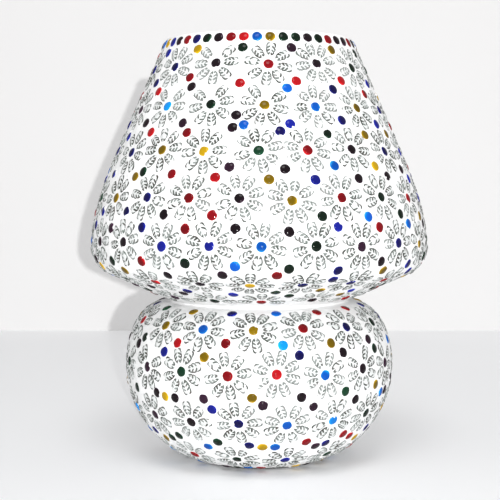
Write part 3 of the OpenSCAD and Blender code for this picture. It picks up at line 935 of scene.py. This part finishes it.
def cabochon(turn, deep, bright):
    """One dot's points and their colours: deep in the middle, brighter at the edge.

    Some dots glow all over, and most have a painted gleam on one side: a highlight painted
    into the colour.
    """
    wobble = 1 + sum(rng.normal(0, DOT_WOBBLE) * np.cos(k * turn + rng.uniform(0, 6.3))
                     for k in (2, 3, 4, 5))
    # the gleam is a painted highlight: a bright crescent on one side of the dot's colour
    gleam_at = rng.uniform(0, 2 * math.pi)
    gleam = rng.uniform(*GLEAM) * (rng.random() < GLEAM_PART)
    glow = rng.uniform(*GLOW) * (rng.random() < GLOW_PART)
    tone = rng.uniform(*DOT_TONE)
    local, tint = [], []
    for share, z in DOT_RINGS:
        r = DOT_R * share * (wobble if share > 0.5 else 1) * DOT_FIT
        ring = np.column_stack([r * np.cos(turn), r * np.sin(turn), np.full(DOT_SIDES, z)])
        # both come in towards the rim
        side = np.clip(np.cos(turn - gleam_at), 0, 1) ** 3 * np.clip(share * 1.6 - 0.75, 0, 1)
        edge = EDGE_GLOW * np.clip(share * 4 - 3, 0, 1)
        mix = np.clip(glow + edge + gleam * side, 0, 1)[:, None]
        colours = deep * tone * (1 - mix) + bright * mix
        local.append(ring if share else ring[:1])
        tint.append(colours if share else colours[:1])
    local = np.vstack(local)
    local[:, 2] += rng.normal(0, DOT_LEVEL)
    return local, np.vstack(tint)


def cabochon_faces():
    n = DOT_SIDES
    rings = len(DOT_RINGS) - 1
    faces = [(0, 1 + j, 1 + (j + 1) % n) for j in range(n)]
    for a in range(1, 1 + (rings - 1) * n, n):
        b = a + n
        faces += [(a + j, b + j, b + (j + 1) % n, a + (j + 1) % n) for j in range(n)]
    faces.append(tuple(1 + rings * n - 1 - j for j in range(n)))
    return faces


def dots():
    faces = cabochon_faces()
    turn = full_turn(DOT_SIDES)
    for node, (deep, bright) in DOT_NODES.items():
        meshes, tints = [], []
        for place in dot_places[node]:
            local, tint = cabochon(turn, np.array(deep), np.array(bright))
            meshes.append((place.put(local), faces))
            tints.append(tint)
        piece = mesh_piece(node + "_cabochons", *joined(meshes), [dot_finish(node)], LAMP,
                           [node], frame_slot(node))
        paint = piece.data.color_attributes.new("tint", "FLOAT_COLOR", "POINT")
        tints = np.vstack(tints)
        rgba = np.column_stack([tints, np.ones(len(tints))])
        paint.data.foreach_set("color", rgba.ravel())


# ---- grout coat

GROUT_LEVEL = 0.34
GROUT_COLUMNS = 760
GROUT_STEP = 0.75
GROUT_BACK_STEP = 8  # rows of the face for one of the plain back
GROUT_PIECES = 5
GROUT_WAVES = ((26, 0.10), (9, 0.07), (3.4, 0.05), (1.9, 0.035))  # length and height
WAVE_COUNT = 7
WAVE_DIVISOR = 2.6
WAVE_R = 80
END_FADE = 2.5
CREASE_FADE = 6
RIM_ROUND = 0.5
BLOB_PART = 0.4  # part of the dots that the grout laps over
BLOB_REACH = (2.85, 3.3)
BLOB_SIZE = (0.42, 0.68)
BLOB_H = 0.75
BLOB_ROWS = 4
BLOB_COLUMNS = 7


def waves(s, turn, seed):
    """Smooth unevenness: sums of sines that close round the lamp."""
    wild = np.random.default_rng(seed)
    total = np.zeros(np.broadcast(s, turn).shape)
    for length, height in GROUT_WAVES:
        for _ in range(WAVE_COUNT):
            heading = wild.uniform(0, 2 * math.pi)
            around = round(math.cos(heading) * 2 * math.pi * WAVE_R / length)
            down = math.sin(heading) * 2 * math.pi / length
            swell = np.sin(around * turn + down * s + wild.uniform(0, 6.3))
            total += height / WAVE_DIVISOR * swell
    return total


def smear(height, s_grid, radius, s0, t0, size):
    """Raises the grout in a small round heap, in place."""
    columns = height.shape[1]
    i0 = round((s0 - s_grid[0]) / (s_grid[1] - s_grid[0]))
    j0 = round(t0 / (2 * math.pi) * columns)
    for i in range(max(0, i0 - BLOB_ROWS), min(len(s_grid), i0 + BLOB_ROWS + 1)):
        for j in range(j0 - BLOB_COLUMNS, j0 + BLOB_COLUMNS + 1):
            ds = s_grid[i] - s0
            dt = (j * 2 * math.pi / columns - t0) * radius[i]
            height[i, j % columns] += BLOB_H * math.exp(-(ds * ds + dt * dt) / (2 * size * size))


def blobs(height, s_grid, radius):
    """Raises the grout where it was smeared over the edges of some dots."""
    run = lengths(FACE_PATH)
    for places in dot_places.values():
        for place in places:
            if rng.random() > BLOB_PART:
                continue
            x, y, z = place.centre
            along = run[nearest_row(math.hypot(x, y), z)]
            for _ in range(rng.integers(1, 3)):
                way = rng.uniform(0, 2 * math.pi)
                reach = rng.uniform(*BLOB_REACH)
                size = rng.uniform(*BLOB_SIZE)
                turn = math.atan2(y, x) + reach * math.sin(way) / math.hypot(x, y)
                smear(height, s_grid, radius, along + reach * math.cos(way), turn, size)


def grout_face(s, r, z):
    """Radius and height of the rough face, one row for each length s along the wall."""
    normal = facing(np.stack([r, z], 1))
    turn = full_turn(GROUT_COLUMNS)
    ss, tt = np.meshgrid(s, turn, indexing="ij")
    height = GROUT_LEVEL + waves(ss, tt, 5)
    blobs(height, s, r)
    # the coat thins out at the rim, at the foot and in the waist's crease, which is the
    # narrowest place on the upper three quarters
    waist = s[np.argmin(np.where(s > 0.75 * s[-1], np.inf, r))]
    ends = np.clip(np.minimum(s, s[-1] - s) / END_FADE, 0, 1)
    crease = np.clip(np.abs(s - waist) / CREASE_FADE, 0, 1)
    height = height * np.minimum(ends, crease)[:, None]
    return r[:, None] + normal[:, :1] * height, z[:, None] + normal[:, 1:] * height


def grout():
    """The grout as closed rings, each a light mesh with a rough face and a plain back."""
    finish = grout_finish()
    path = inset(CHIP_PROUD)
    back = inset(SHELL_IN)
    run = lengths(path)
    s = np.linspace(0, run[-1], round(run[-1] / GROUT_STEP) + 1)
    r, z, back_r, back_z = [np.interp(s, run, line) for line in (*path.T, *back.T)]
    radius, level = grout_face(s, r, z)
    cuts = np.linspace(0, len(s) - 1, GROUT_PIECES + 1).round().astype(int)
    place, axis = inlet()
    for part, (a, b) in enumerate(zip(cuts[:-1], cuts[1:])):
        plain = np.arange(b, a - 1, -GROUT_BACK_STEP)
        plain = plain if plain[-1] == a else np.append(plain, a)
        loop_r = [radius[a:b + 1], widened(back_r[plain], GROUT_COLUMNS)]
        loop_z = [level[a:b + 1], widened(back_z[plain], GROUT_COLUMNS)]
        if a == 0:
            low = LAMP_H - RIM_LIP
            lip = rounded([(GLASS_RIM_R, low), (GLASS_RIM_R, LAMP_H), (r[0], LAMP_H),
                           (r[0], low)], RIM_ROUND)[:-1]
            loop_r.insert(0, widened(lip[:, 0], GROUT_COLUMNS))
            loop_z.insert(0, widened(lip[:, 1], GROUT_COLUMNS))
        verts, faces = turned(np.vstack(loop_r), np.vstack(loop_z), GROUT_COLUMNS)
        piece = mesh_piece(f"grout_{part + 1}", verts, faces, [finish], LAMP, ["grout_coat"],
                           "white_grout", sharp=50)
        if (np.linalg.norm(verts - place, axis=1) < 2 * INLET_R).any():
            drill(piece, place, axis, INLET_R, INLET_REACH)


# ---- glass body and foot

INLET_R = 5.2
INLET_REACH = 15
# The recess under the foot, which narrows towards its top
RECESS_R = 27.0
RECESS_H = 7.0
RECESS_SLOPE = 5.0
RECESS_ROUND = 2.2
FLOOR_T = 4.0
BOWL_LOW = (RECESS_R + 4, 4.5)
STEM_HOLE_R = 5.6
GLASS_GAP = 0.02
GLASS_RIM = 0.05
GLASS_RIM_ROUND = 0.6
GLASS_COLUMNS = 176


def inlet():
    """The cord inlet's place and axis, from the record's mount."""
    mount = next(m for m in frame["record"]["mounts"] if m["name"] == "cord_inlet")
    return np.array(mount["pos_m"]) / MM, mount["axis"]


def glass_body():
    """The blown body: one clear wall from the rim to a floor that is pushed up under the foot."""
    outside = inset(SHELL_IN + GLASS_GAP)
    inside = inset(SHELL_IN + GLASS_T)
    low = outside[-1][1]
    floor = low + RECESS_H
    under = rounded([outside[-1], (RECESS_R, low), (RECESS_R - RECESS_SLOPE, floor),
                     (STEM_HOLE_R, floor), (STEM_HOLE_R, floor + FLOOR_T),
                     (RECESS_R - 3, floor + FLOOR_T), (BOWL_LOW[0], low + BOWL_LOW[1]),
                     inside[-1]], RECESS_ROUND)
    rim = rounded([inside[0], inside[0] + (0, GLASS_RIM), outside[0] + (0, GLASS_RIM), outside[0]],
                  GLASS_RIM_ROUND)
    path = np.vstack([outside, under[1:-1], inside[::-1], rim[1:-1]])
    piece = stand_in("blown_glass_body", turned_path(path, GLASS_COLUMNS), "glass_body", 50)
    drill(piece, *inlet(), INLET_R, INLET_REACH)


# ---- stem and lampholder

STEM_PITCH = 1.0
STEM_DEPTH = 0.5
STEM_BORE = 3.8
STEM_COLUMNS = 40
CORE_HOLE_R = 2.2  # the cord's way into the stem
CORE_HOLE_Z = 31.5
HOLDER_WALL = 1.6
HOLDER_EASE = 0.35
CAP_BEND = 7.0
CAP_BEND_POINTS = 12
CAP_HUB = 3.0
CAP_HUB_H = 6.0
SHELL_PITCH = 3.0
SHELL_DEPTH = 0.7
SHELL_PLAIN = (6, 0.6)  # lengths without thread below and above
SHELL_LIP = 0.25
SHELL_COLUMNS = 120
COLLAR_WALL = 1.2
COLLAR_RIBS = 54
COLLAR_RIB_DEPTH = 0.45
CAP_PITCH = 3.6  # of the holder's sleeve and the bulb's cap
SLEEVE_DEPTH = 0.28
SLEEVE_T = 0.3


def stem():
    low, high, crest = span("stem_tube")
    z = np.arange(low, high, STEM_PITCH / 5)
    cut = thread(z, STEM_COLUMNS, STEM_PITCH, low + 0.4, high - 0.4, sharp=True)
    outer = crest - STEM_DEPTH * (1 - cut)
    mesh = pipe(z, outer, STEM_BORE, STEM_COLUMNS)
    piece = stand_in("threaded_stem", mesh, "stem_tube", 60)
    drill(piece, (0, 2 * crest, CORE_HOLE_Z), (0, 1, 0), CORE_HOLE_R, 2 * crest)


def holder_cap():
    low, high, r = span("holder_cap")
    bend = [(r - CAP_BEND + CAP_BEND * math.sin(a), low + 6.5 - 6.5 * math.cos(a))
            for a in np.linspace(0.1, math.pi / 2, CAP_BEND_POINTS)]
    bend_in = [(r - CAP_BEND - HOLDER_WALL + CAP_BEND * math.sin(a), low + 8.2 - 5.2 * math.cos(a))
               for a in np.linspace(math.pi / 2, 0.1, CAP_BEND_POINTS)]
    stem_r = span("stem_tube")[2]
    hub = stem_r + CAP_HUB
    path = rounded([(stem_r, low), *bend, (r, high), (r - HOLDER_WALL, high), *bend_in,
                    (hub, low + 3), (hub, low + CAP_HUB_H), (stem_r, low + CAP_HUB_H)],
                   HOLDER_EASE, 2)
    stand_in("moulded_holder_cap", turned_path(path, 96), "holder_cap")


def holder_shell():
    low, high, r = span("holder_shell")
    z = np.arange(low, high + 0.01, 0.3)
    start, end = low + SHELL_PLAIN[0], high - SHELL_PLAIN[1]
    turns = thread(z, SHELL_COLUMNS, SHELL_PITCH, start, end)
    groove = np.clip(np.minimum(z - start, end - z) / 1.5, 0, 1)[:, None]
    outer = r - SHELL_DEPTH * groove * (1 - turns ** 0.6)
    lip = np.clip(np.minimum(z - low, high - z) / 0.4, 0, 1)[:, None]
    outer = outer - SHELL_LIP * (1 - lip) ** 2
    mesh = pipe(z, outer, r - HOLDER_WALL, SHELL_COLUMNS)
    stand_in("threaded_holder_shell", mesh, "holder_shell")


def holder_collar():
    low, high, flange = span("holder_collar")
    inner = span("holder_shell")[2]
    body = inner + COLLAR_WALL
    path = rounded([(inner, low), (body, low), (body, high - 2.6), (flange, high - 2.6),
                    (flange, high - 1), (body + 0.4, high - 0.1), (body - 0.3, high),
                    (inner, high)], HOLDER_EASE, 3)
    extra = np.column_stack([np.full(4, body), np.array([0.9, 1.3, 6.2, 6.8]) + low])
    where = np.argmax(path[:, 1] > low + 0.5)
    path = np.vstack([path[:where], extra, path[where:]])
    columns = COLLAR_RIBS * 8
    ribs = 0.5 - 0.5 * np.cos(COLLAR_RIBS * full_turn(columns))
    ribbed = np.isclose(path[:, 0], body) & (path[:, 1] > low + 1.2) & (path[:, 1] < low + 6.3)
    radius = path[:, :1] - COLLAR_RIB_DEPTH * ribbed[:, None] * ribs
    stand_in("ribbed_holder_collar", turned(radius, path[:, 1], columns), "holder_collar")


def thread_sleeve():
    low, high, r = span("thread_sleeve")
    z = np.arange(low, high + 0.01, CAP_PITCH / 12)
    columns = 96
    outer = r - SLEEVE_DEPTH * (1 - thread(z, columns, CAP_PITCH, low + 0.5, high - 0.5))
    mesh = pipe(z, outer, outer - SLEEVE_T, columns)
    stand_in("rolled_thread_sleeve", mesh, "thread_sleeve", 60)


# ---- bulb

BULB_WALL = 0.9
BULB_NECK = 2.0  # from the envelope's lower end to the cap's upper end
BULB_COLUMNS = 96
CAP_DEPTH = 0.75
CAP_MOUTH_R = 9.5
FILAMENT_TURNS = 44
COIL_R = 0.36
COIL_WIRE_R = 0.1
COIL_SAG = 0.1
WIRE_R = 0.3


def bulb_cap():
    """The cap's rolled thread, between a plain shoulder and a plain skirt."""
    low, high, r = span("bulb_cap")
    shoulder = rounded([(CAP_MOUTH_R, low), (11, low), (r - 0.85, low + 1.6),
                        (r - 0.8, low + 2.4)], 0.5)
    z = np.arange(low + 2.6, high - 1.6, CAP_PITCH / 14)
    roll = thread(z, BULB_COLUMNS, CAP_PITCH, z[0], z[-1])
    skirt = rounded([(r - 0.7, z[-1] + 0.2), (r, z[-1] + 0.6), (r, high), (r - 0.4, high)], 0.25)
    inner = np.array([(r - 1.1, z[-1]), (r - 1.1, low + 2.6), (CAP_MOUTH_R, low + 0.4)])
    radius = np.vstack([widened(shoulder[:, 0], BULB_COLUMNS), r - CAP_DEPTH * (1 - roll),
                        widened(skirt[:, 0], BULB_COLUMNS), widened(inner[:, 0], BULB_COLUMNS)])
    height = np.concatenate([shoulder[:, 1], z, skirt[:, 1], inner[:, 1]])
    stand_in("threaded_bulb_cap", turned(radius, height, BULB_COLUMNS), "bulb_cap", 50)


def bulb_tip():
    low, high, r = span("bulb_tip")
    a = np.linspace(0, math.pi / 2, 9)
    dome = np.column_stack([r * np.sin(a), high - (high - low) * np.cos(a)])
    path = np.vstack([dome, [(0, high)]])
    stand_in("soldered_bulb_tip", turned_path(path, 48, poles=True), "bulb_tip")


def bulb_skin(inward):
    """The envelope's outline from its neck to its crown, moved inwards."""
    low, top, r = span("bulb_envelope")
    neck = low + BULB_NECK
    side = curve([(12.4 - inward, low), (13 - inward, neck + 16), (r - inward, neck + 20),
                  (r - inward, top - r)], 48)
    a = np.linspace(0, math.pi / 2, 36)[1:]
    crown = np.column_stack([np.cos(a), np.sin(a)]) * (r - inward) + (0, top - r)
    crown[-1, 0] = 0
    return np.vstack([side, crown])


def bulb_glass():
    """The blown envelope and the stem that is melted to it inside."""
    path = np.vstack([bulb_skin(0)[::-1], bulb_skin(BULB_WALL)])
    stand_in("bulb_envelope_blown", turned_path(path, 128, poles=True), "bulb_envelope", 60)
    neck = span("bulb_envelope")[0] + BULB_NECK
    path = rounded([(0, neck + 24), (1.7, neck + 23.8), (2.3, neck + 22), (2.2, neck + 12),
                    (3.6, neck + 6), (8.4, neck + 1.2), (11.2, neck - 1.2), (11.2, neck - 1.8),
                    (0, neck - 1.8)], 1.6)
    stand_in("glass_bulb_stem", turned_path(path, 64, poles=True), "bulb_stem")


def bulb_wires():
    """Two leads and two thinner hooks, and the coiled filament that they hold."""
    neck = span("bulb_envelope")[0] + BULB_NECK
    low, high, reach = span("filament")
    filament_z = (low + high) / 2
    meshes = []
    for side in (-1, 1):
        lead = curve([(side * 1.1, neck + 13), (side * 1.5, neck + 26), (side * 3, neck + 27),
                      (side * (reach - 0.2), filament_z - 0.3)], 16)
        hook = curve([(side * 0.5, neck + 22), (side * 0.8, neck + 34), (side * 2.5, neck + 35),
                      (side * 4.2, filament_z)], 12)
        lead = np.vstack([lead, [(side * (reach - 0.1), filament_z)]])
        for path, radius in ((lead, WIRE_R), (hook, 0.5 * WIRE_R)):
            meshes.append(tube([(x, 0, z) for x, z in path], radius))
    stand_in("bulb_lead_wires", joined(meshes), "filament_wires")

    t = np.linspace(0, 1, FILAMENT_TURNS * 12 + 1)
    spin = 2 * math.pi * FILAMENT_TURNS * t
    sag = -COIL_SAG * np.sin(4 * math.pi * t) ** 2
    coil = np.column_stack([(2 * t - 1) * (reach - 0.1), COIL_R * np.cos(spin),
                            filament_z + sag + COIL_R * np.sin(spin)])
    stand_in("coiled_filament", tube(coil, COIL_WIRE_R, 6), "filament")


# ---- build


def dress_the_rest():
    """Every CAD node that is still shown gets its finish."""
    for name, node in frame["nodes"].items():
        if not node.hide_render:
            for row in node.material_slots:
                row.material = finish_of(frame_slot(name))


camera()
studio()
leaves()
dots()
grout()
glass_body()
stem()
holder_cap()
holder_shell()
holder_collar()
thread_sleeve()
bulb_cap()
bulb_tip()
bulb_glass()
bulb_wires()
dress_the_rest()
